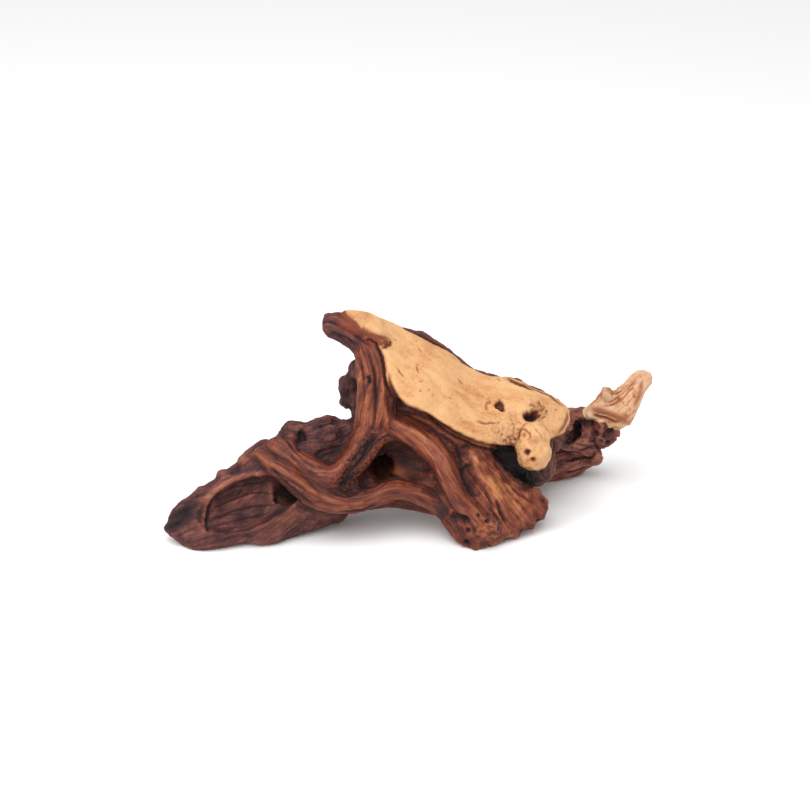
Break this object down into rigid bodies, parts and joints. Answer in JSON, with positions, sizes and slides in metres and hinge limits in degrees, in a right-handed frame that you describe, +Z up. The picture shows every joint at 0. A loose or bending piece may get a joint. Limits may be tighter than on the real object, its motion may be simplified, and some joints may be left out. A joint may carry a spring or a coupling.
{
  "type": "large mopani root wood",
  "caption": "Weathered root stump of dark twisted heartwood with deep hollows, under a pale sandblasted sapwood cap that slopes to a bone-pale tip.",
  "frame": {"origin": "on the ground, under the middle of the root's bounding box", "axes": "+X along the root, from the hollow left root to the raised pale tip; +Y from the hollowed front to the back; +Z up"},
  "size_m": [0.4, 0.1566, 0.1692],
  "materials": {
    "sapwood": "sandblasted pale sapwood, dry and matt",
    "strand_wood": "orange-brown heartwood ridges, rubbed smooth",
    "heartwood": "dark red-brown furrowed heartwood, dry and matt",
    "weathered_wood": "bleached weathered wood, dry and matt"
  },
  "bodies": {
    "root": {"sapwood_cap": "sapwood", "sapwood_knob": "sapwood", "long_ridge": "strand_wood", "strap_root": "strand_wood", "forked_band": "strand_wood", "foot_knot": "strand_wood", "back_ridge": "heartwood", "burl": "heartwood", "stem": "heartwood", "horn": "heartwood", "stem_knob": "heartwood", "front_foot": "heartwood", "left_root": "heartwood", "heart_body": "heartwood", "tip_limb": "weathered_wood", "tip_spur": "weathered_wood", "tip_burr": "heartwood", "arch_root": "heartwood", "rear_log": "heartwood", "main_root": "heartwood", "back_root": "heartwood"}
  },
  "joints": []
}
